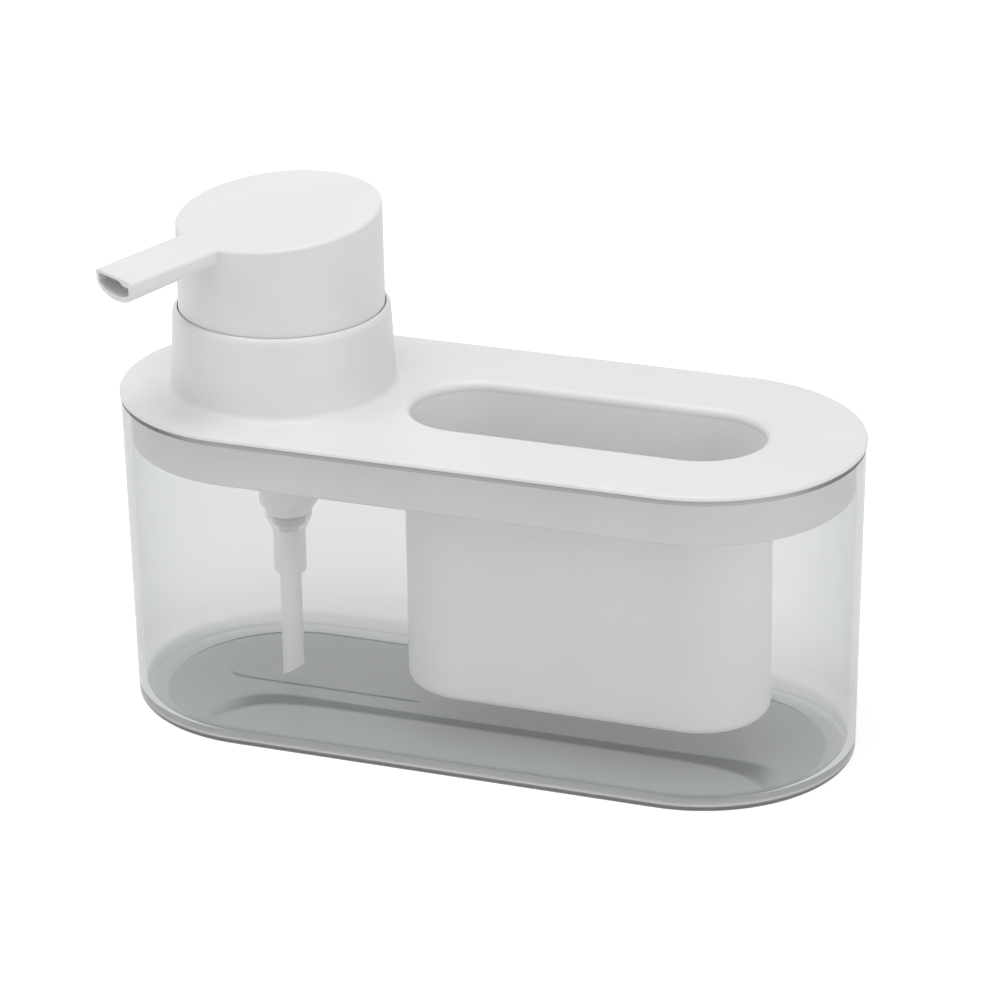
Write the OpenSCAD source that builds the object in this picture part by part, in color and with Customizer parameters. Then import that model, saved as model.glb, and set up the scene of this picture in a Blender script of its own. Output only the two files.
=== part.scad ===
// Soap pump caddy: a clear racetrack tub whose moulded lid carries a dish soap
// pump at one end and a deep open well for a sponge at the other.
// Origin at the middle of the tub's foot, +X towards the sponge end, +Z up.

/* [Tub] */
// Length over the lid's rim
length = 220.4; // [200:0.2:250]
// Width over the lid's rim
width = 92; // [90:0.1:104]
// Height of the tub without the lid
tub_h = 95.2; // [90:0.1:120]
// Thickness of the clear wall
wall = 2.2; // [1.8:0.1:2.8]
// Thickness of the tub's floor
floor_t = 2.6; // [2:0.1:3.4]
// How much the radius shrinks from the rim to the foot
draft = 1.4; // [0.4:0.05:1.8]
// Rounding of the outer bottom edge
foot_round = 2.2; // [1:0.1:2.6]
// Rounding of the inner bottom corner
corner_round = 3.2; // [2:0.1:5]
// Width of the ring that the tub stands on
foot_w = 7; // [4:0.5:12]
// Depth of the recess inside the foot ring
foot_recess = 0.8; // [0.4:0.1:1.2]

/* [Lid] */
// Thickness of the deck
deck_t = 2.6; // [2:0.1:3.2]
// Thickness of the rim that covers the tub's edge
lip_t = 1.3; // [1.1:0.1:2]
// Overhang of the rim past the tub's wall
lip_over = 0.35; // [0:0.05:0.8]
// Rounding of the rim's upper edge
lip_round = 0.9; // [0.3:0.1:1]
// Depth of the skirt inside the tub
skirt_h = 14.7; // [8:0.1:20]
// Thickness of the skirt
skirt_t = 1.8; // [1.2:0.1:2.4]
// Clearance between the skirt and the tub's wall
skirt_gap = 0.35; // [0.3:0.05:0.8]

/* [Sponge well] */
// Inner width of the well
well_w = 36.8; // [32:0.1:42]
// Deck left between the opening and the far end of the rim
end_deck = 25.6; // [22:0.1:36]
// Deck left between the collar's foot and the opening
bridge = 2.7; // [1:0.1:6]
// Radius of the rolled edge round the opening
roll_r = 2.6; // [1.5:0.1:3]
// Thickness of the well's wall
well_wall = 2; // [1.4:0.1:2.6]
// Room between the well and the tub's floor
well_lift = 9.4; // [4:0.1:30]
// Rounding of the well's outer bottom edge
well_round = 3; // [1.5:0.1:4]
// Width of the bonding flange under the deck
flange_w = 4; // [2:0.1:5]

/* [Collar] */
// Height of the collar above the deck
collar_h = 24.7; // [22:0.1:28]
// Thickness of the collar below its crown
collar_t = 1.35; // [0.8:0.05:2]
// How much the collar widens down to its foot
collar_draft = 1.05; // [0.2:0.05:2]
// Radius of the fillet at the collar's foot
collar_fillet = 2.5; // [1:0.1:4]
// Height of the rounding at the collar's top edge
collar_crown = 2.2; // [0.5:0.1:4]
// Distance from the end arc's centre to the pump's axis
pump_shift = 1.7; // [0:0.05:3]

/* [Pump head] */
// Diameter of the drum where it enters the collar
drum_d = 59.4; // [56:0.1:61]
// Clearance between the drum and the collar
drum_gap = 0.35; // [0.3:0.05:1]
// How much the drum's radius shrinks from the collar to the top
drum_draft = 0.2; // [0:0.05:0.6]
// Wall of the drum
drum_wall = 2; // [1.5:0.1:2.6]
// Thickness of the drum's top plate
top_t = 2.2; // [1.6:0.1:3]
// Slope of the top face down towards the spout, in degrees
tilt = 5.9; // [0:0.1:8]
// Rounding of the top edge
top_round = 1; // [0.4:0.1:1.6]
// Direction of the spout from the tub's long axis, in degrees
spout_turn = -120.5; // [-170:0.5:170]
// Reach of the spout from the pump's axis
spout_reach = 58; // [48:0.5:70]
// Width of the spout at the drum
spout_w = 17.7; // [14:0.1:20]
// Width of the spout at its mouth
mouth_w = 17; // [13:0.1:20]
// Height of the spout's side at the drum
spout_side = 2.7; // [2.4:0.1:3.4]
// Height of the spout's side at its mouth
mouth_side = 3.4; // [2.6:0.1:4.4]
// Belly of the spout's rounded underside at the drum
spout_belly = 4; // [3.4:0.1:4.4]
// Belly of the spout's rounded underside at its mouth
mouth_belly = 4.3; // [3.4:0.1:5]
// Thickness of the spout's sides
spout_wall = 1.5; // [1.1:0.1:1.8]
// Thickness of the spout's top
spout_roof = 0.9; // [0.7:0.1:1.2]
// Thickness of the spout's underside
spout_under = 1.8; // [1.2:0.1:2]
// Rounding of the spout's long upper edges
spout_round = 1.2; // [0.4:0.1:1.4]

/* [Pump works] */
// Travel of the head
stroke = 14; // [10:0.5:15]
// Outer diameter of the barrel
barrel_d = 17.1; // [16:0.1:18]
// Wall of the barrel
barrel_wall = 1.15; // [0.9:0.05:1.4]
// Length of the barrel below its flange
barrel_l = 45.7; // [44:0.1:52]
// Outer diameter of the tail socket
tail_d = 9.6; // [9.2:0.1:10.4]
// Length of the tail socket below the taper
tail_l = 13.5; // [12.5:0.1:16]
// Outer diameter of the dip tube
dip_d = 6.4; // [5.6:0.1:6.8]
// Wall of the dip tube
dip_wall = 0.8; // [0.6:0.05:1]
// Room between the dip tube and the tub's floor
dip_lift = 1; // [0.6:0.1:6]
// Outer diameter of the stem
stem_d = 6.8; // [6.6:0.1:7.4]
// Bore of the stem
stem_bore = 4; // [3:0.1:4.4]
// Diameter of both valve balls
ball_d = 5.2; // [5:0.1:5.4]
// Lift of both valve balls
ball_lift = 1.4; // [0.8:0.1:1.5]
// Wire diameter of the spring
wire_d = 0.9; // [0.7:0.05:1]
// Mean diameter of the spring
coil_d = 8; // [7.6:0.1:8.2]
// Number of curls in the spring
curls = 10; // [7:1:12]

/* [Hidden] */
$fn = 96;

// One overrun for every cut
cut = 1;
// Straight steps in each rounding
arc_steps = 6;
// Radial clearance of a running fit
run_gap = 0.05;
// Clearance between pieces that are assembled tight
seat_gap = 0.05;

// Tub
rim_round = 0.4;
rim_r = width / 2;
half_straight = length / 2 - rim_r;
top_r = rim_r - lip_over;
foot_r = top_r - draft;
foot_in = foot_r - foot_round - foot_w;

// Lid
deck_z = tub_h + lip_t;
under_z = deck_z - deck_t;
skirt_z = tub_h - skirt_h;
skirt_r = tub_r(skirt_z) - wall - skirt_gap;
skirt_lead = 0.6;

// Collar
pump_x = pump_shift - half_straight;
collar_bore = drum_d / 2 + drum_gap;
collar_top = deck_z + collar_h;
collar_r = collar_bore + collar_t;
collar_low_r = collar_r + collar_draft;
collar_foot = collar_low_r + collar_fillet;

// Sponge well and the opening above it
well_r = well_w / 2;
open_r = well_r + roll_r;
open_start = pump_x + collar_foot + bridge;
open_end = length / 2 - end_deck;
well_x = (open_start + open_end) / 2;
well_straight = (open_end - open_start) / 2 - open_r;
land_t = 0.4;
land_z = deck_z - max(deck_t, roll_r) - land_t;
land_r = well_r + well_wall + flange_w;
well_z = floor_t + well_lift;
well_out = well_r + well_wall;
well_flange_t = 1.6;
well_inner_round = 2;

// Neck that the pump hangs in, with its sleeve and ribs under the deck
neck_h = 7.5;
neck_gap = 0.35;
neck_wall = 6.1;
neck_bore = barrel_d / 2 + neck_gap;
neck_r = neck_bore + neck_wall;
neck_top = deck_z + neck_h;
sleeve_h = 8;
sleeve_wall = 1.8;
lid_ribs = 6;
lid_rib_t = 1.4;
lid_rib_h = 6;
lid_rib_reach = 30;

// Pump stack above the neck
gasket_t = 1.2;
flange_z = neck_top + gasket_t;
housing_flange_t = 1.5;
housing_flange_in = 1.6;
flange_r = neck_r - housing_flange_in;
housing_top = flange_z + housing_flange_t;
guide_flange_t = 1.5;
guide_flange_r = flange_r - neck_gap;
guide_top = housing_top + guide_flange_t;
guide_depth = 9.2;
guide_z = housing_top - guide_depth;
guide_lip_r = 5.6;
guide_lip_h = 1.4;
stem_hole = stem_d / 2 + 2 * run_gap;

// Lock ring over the neck
ring_wall = 2.3;
ring_top_t = 1.8;
ring_lift = 0.8;
ring_edge = 0.8;
ring_in = neck_r + neck_gap;
ring_out = ring_in + ring_wall;
ring_z = deck_z + ring_lift;
ring_top = guide_top + ring_top_t;
grips = 24;
grip_w = 1.2;
grip_d = 0.6;

// Barrel, shoulder, taper and tail of the housing
barrel_in = barrel_d / 2 - barrel_wall;
barrel_end = flange_z - barrel_l;
shoulder_d = 13.6;
shoulder_in = shoulder_d / 2 - barrel_wall;
chamfer_h = 2.5;
step_h = 2;
taper_h = 4.5;
shoulder_z = barrel_end - chamfer_h;
taper_z = shoulder_z - step_h;
tail_z = taper_z - taper_h;
tail_end = tail_z - tail_l;
tail_round = 1.2;
socket_l = 6.7;
socket_r = dip_d / 2 + seat_gap;
septum_z = tail_end + socket_l;
septum_t = 1.5;
port_r = 1.7;
seat_z = septum_z + septum_t;
ball_r = ball_d / 2;
chamber_r = ball_r + 0.5 * wire_d;
seat_top = seat_z + chamber_r - port_r;
inlet_z = seat_z - port_r + (ball_r + seat_gap) * sqrt(2);

// Cage over the inlet ball, which the spring stands on
cage_lift = 2;
cage_t = 1.2;
cage_rim = 1.2;
cage_bar = 1.1;
cage_pin_r = 0.9;
cage_z = tail_z + cage_lift;
cage_r = coil_d / 2 + wire_d / 2 + 5 * seat_gap;
cage_top = cage_z + cage_t;
cage_pin_z = inlet_z + ball_r + ball_lift + seat_gap;

// Piston and follower, just below the guide at rest
shoulder_t = 1.7;
shoulder_r = 4.9;
shoulder_top = guide_z - seat_gap;
piston_top = shoulder_top - shoulder_t - seat_gap;
piston_h = 6.5;
piston_z = piston_top - piston_h;
piston_bore = stem_d / 2 + run_gap;
piston_hub = piston_bore + 1.5 * wire_d;
piston_lip = barrel_in - run_gap;
piston_tip = piston_lip - 0.7 * wire_d;
piston_waist = piston_lip - 1.2 * wire_d;
piston_groove = 2;
piston_land = 0.8;
follower_t = 3;
follower_z = piston_z - follower_t;
follower_r = coil_d / 2 + 1.8 * wire_d;
spigot_h = 1.5;
spigot_r = coil_d / 2 - wire_d / 2 - 7 * seat_gap;

// Stem and the hub that carries it in the head
press_gap = 1;
stem_lift = 0.3;
stem_z = piston_z + stem_lift;
hub_z = ring_top + stroke + press_gap;
hub_wall = 1.9;
hub_r = stem_d / 2 + hub_wall;
hub_grip = 10.5;
stem_top = hub_z + hub_grip;
outlet_rise = sqrt(pow(ball_r + seat_gap, 2) - pow(stem_bore / 2, 2));
outlet_z = stem_top + outlet_rise;
outlet_chamber_r = stem_d / 2 - 4 * seat_gap;
stop_z = outlet_z + ball_r + ball_lift + seat_gap;
stop_t = 1.6;
stop_slot = 1.4;
hub_top = stop_z + stop_t;

// Head: the drum hangs from a sloping top plate
hub_cover = 6.15;
head_top = hub_top + hub_cover;
drum_lift = 2;
drum_z = deck_z + stroke + drum_lift;
drum_peak = head_top + drum_d / 2 * tan(tilt) + cut;
top_edge_r = drum_r(head_top) / cos(tilt);
duct_h = spout_side + spout_belly;
spout_root = sqrt(pow(drum_r(head_top) - drum_wall / 2, 2) - pow(spout_w / 2, 2));
boss_bore = hub_r + seat_gap;
boss_wall = 1.8;
boss_show = 9;
boss_z = hub_z + boss_show;
port_up = 2.2;
passage_back_w = 2 * (port_up + spout_wall);
ledge_in = 4.1;
ledge_slant = 3;
ledge_drop = 2.2;
ledge_l = 12;
ledge_inset = 0.3;
head_ribs = 6;
head_rib_t = 1.2;
head_rib_lift = 2;
head_rib_z = boss_z + head_rib_lift;
belly_steps = 12;
inner_round = 0.3;

// Outer radius of the tub's wall at a height
function tub_r(z) = foot_r + draft * z / tub_h;

// Outer radius of the drum at a height
function drum_r(z) = drum_d / 2 - drum_draft * (z - collar_top) / (head_top - collar_top);

// Points along an arc
function arc(c, r, from, to, steps = arc_steps) =
    oval(c, r, r, from, to, steps);

// Points along a quarter or half of an ellipse
function oval(c, rx, ry, from, to, steps = arc_steps) = [
    for (i = [0:steps])
        let (a = from + (to - from) * i / steps)
        [c[0] + rx * cos(a), c[1] + ry * sin(a)]
];

// Sweeps a half profile (radius, height) round a racetrack whose straight
// sides are twice half long.
module racetrack(half) {
    for (side = [0, 1]) {
        mirror([side, 0, 0])
        translate([half, 0, 0])
        rotate([0, 0, -90])
        rotate_extrude(angle = 180)
        children();
    }
    translate([half, 0, 0])
    rotate([90, 0, -90])
    linear_extrude(2 * half) {
        children();
        mirror([1, 0]) children();
    }
}

// Turns a half profile about the pump's axis
module turned() {
    translate([pump_x, 0, 0])
    rotate_extrude()
    children();
}

// Moves to the pump's axis at a height
module at_pump(z) {
    translate([pump_x, 0, z]) children();
}

module reservoir() {
    floor_in = tub_r(floor_t + corner_round) - wall - corner_round;
    color([0.86, 0.9, 0.9, 0.45])
    racetrack(half_straight)
    polygon(concat(
        [[0, foot_recess], [foot_in, foot_recess], [foot_in + foot_recess, 0]],
        arc([foot_r - foot_round, foot_round], foot_round, -90, 0),
        arc([top_r - rim_round, tub_h - rim_round], rim_round, 0, 90),
        arc([top_r - wall + rim_round, tub_h - rim_round], rim_round, 90, 180),
        arc([floor_in, floor_t + corner_round], corner_round, 0, -90),
        [[0, floor_t]]
    ));
}

// Deck, rim and skirt in one profile
module deck() {
    skirt_in = skirt_r - skirt_t;
    racetrack(half_straight)
    polygon(concat(
        [[0, under_z], [skirt_in, under_z], [skirt_in, skirt_z]],
        [[skirt_r - skirt_lead, skirt_z], [skirt_r, skirt_z + skirt_lead]],
        [[skirt_r, tub_h], [rim_r, tub_h]],
        arc([rim_r - lip_round, deck_z - lip_round], lip_round, 0, 90),
        [[0, deck_z]]
    ));
}

// Rolled edge of the opening, with the land that the well is bonded to
module rolled_edge() {
    translate([well_x, 0, 0])
    racetrack(well_straight)
    polygon(concat(
        [[well_r, land_z], [land_r, land_z], [land_r, deck_z]],
        arc([open_r, deck_z - roll_r], roll_r, 90, 180)
    ));
}

// Collar with its filleted foot and rounded crown
module collar() {
    turned()
    polygon(concat(
        [[collar_bore, under_z + deck_t / 2], [collar_foot, under_z + deck_t / 2]],
        arc([collar_foot, deck_z + collar_fillet], collar_fillet, 270, 180),
        oval([collar_bore, collar_top - collar_crown], collar_t, collar_crown, 0, 90)
    ));
}

// Neck above the deck, with a sleeve and ribs below it
module neck() {
    sleeve_r = neck_bore + sleeve_wall;
    at_pump(under_z - sleeve_h)
    cylinder(r = sleeve_r, h = sleeve_h + deck_t / 2);
    at_pump(deck_z - deck_t / 2)
    cylinder(r = neck_r, h = neck_h + deck_t / 2);
    for (i = [0:lid_ribs - 1]) {
        at_pump(under_z - lid_rib_h)
        rotate(360 * (i + 0.5) / lid_ribs)
        translate([sleeve_r - sleeve_wall / 2, -lid_rib_t / 2, 0])
        cube([lid_rib_reach - sleeve_r, lid_rib_t, lid_rib_h + deck_t / 2]);
    }
}

module lid() {
    color([0.9, 0.9, 0.9])
    difference() {
        union() {
            difference() {
                deck();
                translate([well_x, 0, under_z - cut])
                racetrack(well_straight)
                square([open_r, deck_t + 2 * cut]);
            }
            rolled_edge();
            collar();
            neck();
        }
        at_pump(under_z - sleeve_h - cut)
        cylinder(r = neck_bore, h = sleeve_h + deck_t + neck_h + 2 * cut);
    }
}

module sponge_well() {
    color([0.88, 0.88, 0.88])
    translate([well_x, 0, 0])
    racetrack(well_straight)
    polygon(concat(
        [[0, well_z]],
        arc([well_out - well_round, well_z + well_round], well_round, -90, 0),
        [[well_out, land_z - well_flange_t], [land_r, land_z - well_flange_t]],
        [[land_r, land_z], [well_r, land_z]],
        arc([well_r - well_inner_round, well_z + well_wall + well_inner_round],
            well_inner_round, 0, -90),
        [[0, well_z + well_wall]]
    ));
}

module lock_ring() {
    color([0.93, 0.93, 0.93])
    union() {
        turned()
        polygon([
            [guide_lip_r + neck_gap, guide_top],
            [ring_in, guide_top],
            [ring_in, ring_z],
            [ring_out, ring_z],
            [ring_out, ring_top - ring_edge],
            [ring_out - ring_edge, ring_top],
            [guide_lip_r + neck_gap, ring_top]
        ]);
        for (i = [0:grips - 1]) {
            at_pump(ring_z)
            rotate(360 * i / grips)
            translate([ring_out - ring_wall / 2, -grip_w / 2, 0])
            cube([ring_wall / 2 + grip_d, grip_w, ring_top - ring_edge - ring_z]);
        }
    }
}

module housing_gasket() {
    color([0.75, 0.75, 0.75])
    turned()
    translate([neck_bore, neck_top])
    square([flange_r - neck_bore, gasket_t]);
}

module stem_guide() {
    color([0.94, 0.94, 0.94])
    turned()
    polygon([
        [stem_hole, guide_z],
        [barrel_in - seat_gap, guide_z],
        [barrel_in - seat_gap, housing_top],
        [guide_flange_r, housing_top],
        [guide_flange_r, guide_top],
        [guide_lip_r, guide_top],
        [guide_lip_r, guide_top + guide_lip_h],
        [stem_hole, guide_top + guide_lip_h]
    ]);
}

module pump_housing() {
    color([0.9, 0.92, 0.92, 0.6])
    turned()
    polygon(concat(
        [[barrel_in, housing_top], [barrel_in, barrel_end], [shoulder_in, shoulder_z]],
        [[shoulder_in, taper_z], [cage_r, cage_top + seat_gap], [cage_r, cage_z]],
        [[chamber_r, cage_z], [chamber_r, seat_top], [port_r, seat_z], [port_r, septum_z]],
        [[socket_r, septum_z], [socket_r, tail_end]],
        arc([tail_d / 2 - tail_round, tail_end + tail_round], tail_round, -90, 0),
        [[tail_d / 2, tail_z], [shoulder_d / 2, taper_z], [shoulder_d / 2, shoulder_z]],
        [[barrel_d / 2, barrel_end], [barrel_d / 2, flange_z]],
        [[flange_r, flange_z], [flange_r, housing_top]]
    ));
}

// Ring with a cross over the inlet ball and a pin that stops the ball
module valve_cage() {
    ring_r = cage_r - seat_gap;
    color([0.6, 0.62, 0.62])
    union() {
        turned()
        translate([ring_r - cage_rim, cage_z])
        square([cage_rim, cage_t]);
        for (i = [0, 1]) {
            at_pump(cage_z)
            rotate(90 * i)
            translate([cage_rim / 2 - ring_r, -cage_bar / 2, 0])
            cube([2 * ring_r - cage_rim, cage_bar, cage_t]);
        }
        at_pump(cage_pin_z)
        cylinder(r = cage_pin_r, h = cage_z + cage_t / 2 - cage_pin_z);
    }
}

module inlet_ball() {
    color([0.7, 0.7, 0.72])
    at_pump(inlet_z)
    sphere(r = ball_r);
}

// Tube with a slanted foot, so that it cannot seal against the floor
module dip_tube() {
    foot_z = floor_t + dip_lift;
    color([0.9, 0.92, 0.92, 0.6])
    difference() {
        at_pump(foot_z)
        cylinder(d = dip_d, h = septum_z - foot_z);
        at_pump(foot_z - cut)
        cylinder(d = dip_d - 2 * dip_wall, h = septum_z - foot_z + 2 * cut);
        at_pump(foot_z)
        translate([-dip_d / 2, 0, 0])
        rotate([0, -30, 0])
        translate([-dip_d, -dip_d, -2 * dip_d])
        cube([4 * dip_d, 2 * dip_d, 2 * dip_d]);
    }
}

// Spring: one unbroken tube along a helix whose end curls lie closer
spring_rings = 8;
spring_sides = 6;
spring_z = cage_top + wire_d / 2 + seat_gap;
spring_l = follower_z - wire_d / 2 - seat_gap - spring_z;
end_pitch = 1.65 * wire_d;
mid_pitch = (spring_l - 2 * end_pitch) / (curls - 2);
function spring_rise(t) =
    t < 1 ? end_pitch * t
    : t > curls - 1 ? spring_l - end_pitch * (curls - t)
    : end_pitch + mid_pitch * (t - 1);
function spring_mid(t) = [
    coil_d / 2 * cos(360 * t), coil_d / 2 * sin(360 * t), spring_rise(t)
];
spring_path = [for (i = [0:curls * spring_rings]) spring_mid(i / spring_rings)];
spring_points = [
    for (i = [0:curls * spring_rings], k = [0:spring_sides - 1])
        let (t = i / spring_rings, a = 360 * k / spring_sides,
            r = coil_d / 2 + wire_d / 2 * cos(a))
        [r * cos(360 * t), r * sin(360 * t), spring_rise(t) + wire_d / 2 * sin(a)]
];
spring_ends = [
    [for (k = [0:spring_sides - 1]) k],
    [for (k = [spring_sides - 1:-1:0]) curls * spring_rings * spring_sides + k]
];
spring_faces = [
    for (i = [0:curls * spring_rings - 1], k = [0:spring_sides - 1], half = [0, 1])
        let (a = i * spring_sides, b = a + spring_sides, n = (k + 1) % spring_sides)
        half == 0 ? [a + k, b + k, b + n] : [a + k, b + n, a + n]
];
spring_gap = min([
    for (i = [0:len(spring_path) - 1], j = [i + spring_rings / 2 + 1:len(spring_path) - 1])
        norm(spring_path[i] - spring_path[j])
]) - wire_d;
echo(spring_least_gap = spring_gap);

module return_spring() {
    color([0.72, 0.73, 0.74])
    at_pump(spring_z)
    polyhedron(points = spring_points, faces = concat(spring_ends, spring_faces));
}

module spring_follower() {
    color([0.92, 0.92, 0.92])
    turned()
    polygon([
        [stem_bore / 2, follower_z - spigot_h],
        [spigot_r, follower_z - spigot_h],
        [spigot_r, follower_z],
        [follower_r, follower_z],
        [follower_r, piston_z],
        [stem_bore / 2, piston_z]
    ]);
}

// Piston with a wiping lip at each end
module piston() {
    color([0.85, 0.87, 0.9])
    turned()
    translate([0, piston_z])
    polygon([
        [piston_bore, 0],
        [piston_hub, 0],
        [piston_hub, piston_groove],
        [piston_tip, 0],
        [piston_lip, 0],
        [piston_lip, piston_land],
        [piston_waist, piston_groove],
        [piston_waist, piston_h - piston_groove],
        [piston_lip, piston_h - piston_land],
        [piston_lip, piston_h],
        [piston_tip, piston_h],
        [piston_hub, piston_h - piston_groove],
        [piston_hub, piston_h],
        [piston_bore, piston_h]
    ]);
}

module stem() {
    color([0.95, 0.95, 0.95])
    turned()
    polygon([
        [stem_bore / 2, stem_z],
        [stem_d / 2, stem_z],
        [stem_d / 2, shoulder_top - shoulder_t],
        [shoulder_r, shoulder_top - shoulder_t],
        [shoulder_r, shoulder_top],
        [stem_d / 2, shoulder_top],
        [stem_d / 2, stem_top],
        [stem_bore / 2, stem_top]
    ]);
}

// Hub on the stem's upper end, with the outlet ball's chamber and its slotted stop
module stem_hub() {
    grip_r = stem_d / 2 + seat_gap;
    color([0.9, 0.9, 0.92])
    difference() {
        turned()
        polygon([
            [grip_r, hub_z],
            [hub_r, hub_z],
            [hub_r, hub_top],
            [0, hub_top],
            [0, stop_z],
            [outlet_chamber_r, stop_z],
            [outlet_chamber_r, stem_top],
            [grip_r, stem_top]
        ]);
        for (i = [0, 1]) {
            at_pump(stop_z - cut)
            rotate(90 * i)
            translate([-outlet_chamber_r, -stop_slot / 2, 0])
            cube([2 * outlet_chamber_r, stop_slot, stop_t + 2 * cut]);
        }
    }
}

module outlet_ball() {
    color([0.7, 0.7, 0.72])
    at_pump(outlet_z)
    sphere(r = ball_r);
}

// Frame of the head: origin on the top face at the pump's axis, +X along the
// spout and +Z square to the sloping top face
module head_frame() {
    at_pump(head_top)
    rotate([0, 0, spout_turn])
    rotate([0, tilt, 0])
    children();
}

// Drum as a plain taper, before its top is cut
module drum(inset) {
    at_pump(drum_z)
    cylinder(r1 = drum_r(drum_z) - inset, r2 = drum_r(drum_peak) - inset, h = drum_peak - drum_z);
}

// Everything under the top face, with the rounded edge
module under_top_face() {
    head_frame()
    rotate_extrude()
    polygon(concat(
        [[0, -drum_d], [2 * drum_d, -drum_d], [2 * drum_d, -top_round]],
        arc([top_edge_r - top_round, -top_round], top_round, 0, 90),
        [[0, 0]]
    ));
}

// Cross-section of the spout: flat top, upright sides and a half-oval belly
function spout_section(w, side, belly, r) = concat(
    arc([w / 2 - r, -r], r, 0, 90),
    arc([r - w / 2, -r], r, 90, 180),
    oval([0, -side], w / 2, belly, 180, 360, belly_steps)
);

// Size at a distance along the spout, which changes evenly from the drum to the mouth
function along(root, mouth, x) =
    root + (mouth - root) * max(0, min(1, (x - spout_root) / (spout_reach - spout_root)));

// Cross-sections of the spout and of its passage at a distance along it
function spout_ring(x) = [
    for (p = spout_section(along(spout_w, mouth_w, x), along(spout_side, mouth_side, x),
            along(spout_belly, mouth_belly, x), spout_round))
        [x, p[0], p[1]]
];
function passage_ring(x, w) = [
    for (p = spout_section(w, along(spout_side, mouth_side, x) - spout_roof,
            along(spout_belly, mouth_belly, x) - spout_under, inner_round))
        [x, p[0], p[1] - spout_roof]
];

// Solid skinned over cross-sections with equal numbers of points
module skinned(rings) {
    n = len(rings[0]);
    last = len(rings) - 1;
    polyhedron(
        points = [for (ring = rings, p = ring) p],
        faces = concat(
            [[for (k = [0:n - 1]) k], [for (k = [n - 1:-1:0]) last * n + k]],
            [
                for (i = [0:last - 1], k = [0:n - 1], half = [0, 1])
                    let (a = i * n, b = a + n, next = (k + 1) % n)
                    half == 0 ? [a + k, b + k, b + next] : [a + k, b + next, a + next]
            ]
        )
    );
}

module spout_outside() {
    head_frame()
    skinned([for (x = [0, spout_root, spout_reach]) spout_ring(x)]);
}

module spout_passage() {
    head_frame()
    skinned([
        passage_ring(-port_up, passage_back_w),
        passage_ring(boss_bore, spout_w - 2 * spout_wall),
        passage_ring(spout_root, spout_w - 2 * spout_wall),
        passage_ring(spout_reach + cut, mouth_w - 2 * spout_wall)
    ]);
}

// Thicker corner inside the mouth, on its near side
module mouth_ledge() {
    ledge_out = (mouth_w - spout_wall) / 2;
    head_frame()
    translate([spout_reach - ledge_inset - ledge_l, 0, 0])
    rotate([90, 0, 90])
    linear_extrude(ledge_l)
    polygon([
        [ledge_in - ledge_slant, -spout_roof / 2],
        [ledge_in, -ledge_drop],
        [ledge_out, -ledge_drop],
        [ledge_out, -spout_roof / 2]
    ]);
}

// Hollow under the top plate; the boss and the ribs are left standing in it
module drum_hollow() {
    difference() {
        translate([0, 0, -cut]) drum(drum_wall);
        head_frame()
        translate([-drum_d, -drum_d, -top_t])
        cube([2 * drum_d, 2 * drum_d, drum_d]);
        at_pump(boss_z)
        cylinder(r = boss_bore + boss_wall, h = drum_peak - boss_z);
        for (i = [1:head_ribs - 1]) {
            at_pump(head_rib_z)
            rotate(spout_turn + 360 * i / head_ribs)
            translate([0, -head_rib_t / 2, 0])
            cube([drum_d, head_rib_t, drum_peak - head_rib_z]);
        }
    }
}

module head_shell() {
    color([0.91, 0.91, 0.91])
    union() {
        difference() {
            union() {
                difference() {
                    intersection() {
                        drum(0);
                        under_top_face();
                    }
                    drum_hollow();
                }
                spout_outside();
            }
            spout_passage();
            at_pump(boss_z - cut)
            cylinder(r = boss_bore, h = hub_top - boss_z + cut);
            at_pump(hub_top - cut)
            cylinder(r = port_up, h = hub_cover - duct_h / 2 + cut);
        }
        mouth_ledge();
    }
}

reservoir();
lid();
sponge_well();
lock_ring();
housing_gasket();
stem_guide();
pump_housing();
valve_cage();
inlet_ball();
dip_tube();
return_spring();
spring_follower();
piston();
stem();
stem_hub();
outlet_ball();
head_shell();
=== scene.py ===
# Soap pump caddy: a clear tub, and a moulded lid with a press-down soap pump and a sponge well.
import math
import bpy
import bmesh
from mathutils import Matrix, Vector


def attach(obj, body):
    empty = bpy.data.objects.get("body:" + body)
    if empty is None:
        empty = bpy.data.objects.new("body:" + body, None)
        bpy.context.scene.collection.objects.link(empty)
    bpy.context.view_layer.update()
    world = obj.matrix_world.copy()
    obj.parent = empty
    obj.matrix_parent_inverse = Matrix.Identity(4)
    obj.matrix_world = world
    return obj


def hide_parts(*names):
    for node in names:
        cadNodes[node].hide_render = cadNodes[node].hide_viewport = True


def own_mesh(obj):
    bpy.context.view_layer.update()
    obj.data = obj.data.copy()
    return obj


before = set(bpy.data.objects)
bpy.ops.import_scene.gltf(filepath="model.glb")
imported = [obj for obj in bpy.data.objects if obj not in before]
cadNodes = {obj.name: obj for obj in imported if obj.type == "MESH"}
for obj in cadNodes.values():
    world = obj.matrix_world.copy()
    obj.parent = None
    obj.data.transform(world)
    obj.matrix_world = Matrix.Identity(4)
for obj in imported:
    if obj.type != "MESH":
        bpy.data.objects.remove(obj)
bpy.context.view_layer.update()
mm = 0.001
pumpX = -62.5  # the pump's axis, over the tub's long middle line
print("frame loaded with", len(cadNodes), "CAD nodes")


# Mesh helpers. Lengths are in millimetres until a mesh is made.
def arcPoints(centre, radius, start, end, steps=8):
    turns = [math.radians(start + (end - start) * i / steps) for i in range(steps + 1)]
    rx, ry = radius if isinstance(radius, tuple) else (radius, radius)
    return [(centre[0] + rx * math.cos(t), centre[1] + ry * math.sin(t)) for t in turns]


def outline(radius, half=0, centreX=0, steps=48):
    # racetrack seen from above; with no straight sides it is a circle
    points = []
    for side, start in ((1, -0.5), (-1, 0.5)):
        for i in range(steps + (1 if half else 0)):
            t = math.pi * (start + i / steps)
            points.append((centreX + side * half + radius * math.cos(t), radius * math.sin(t)))
    return points


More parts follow.
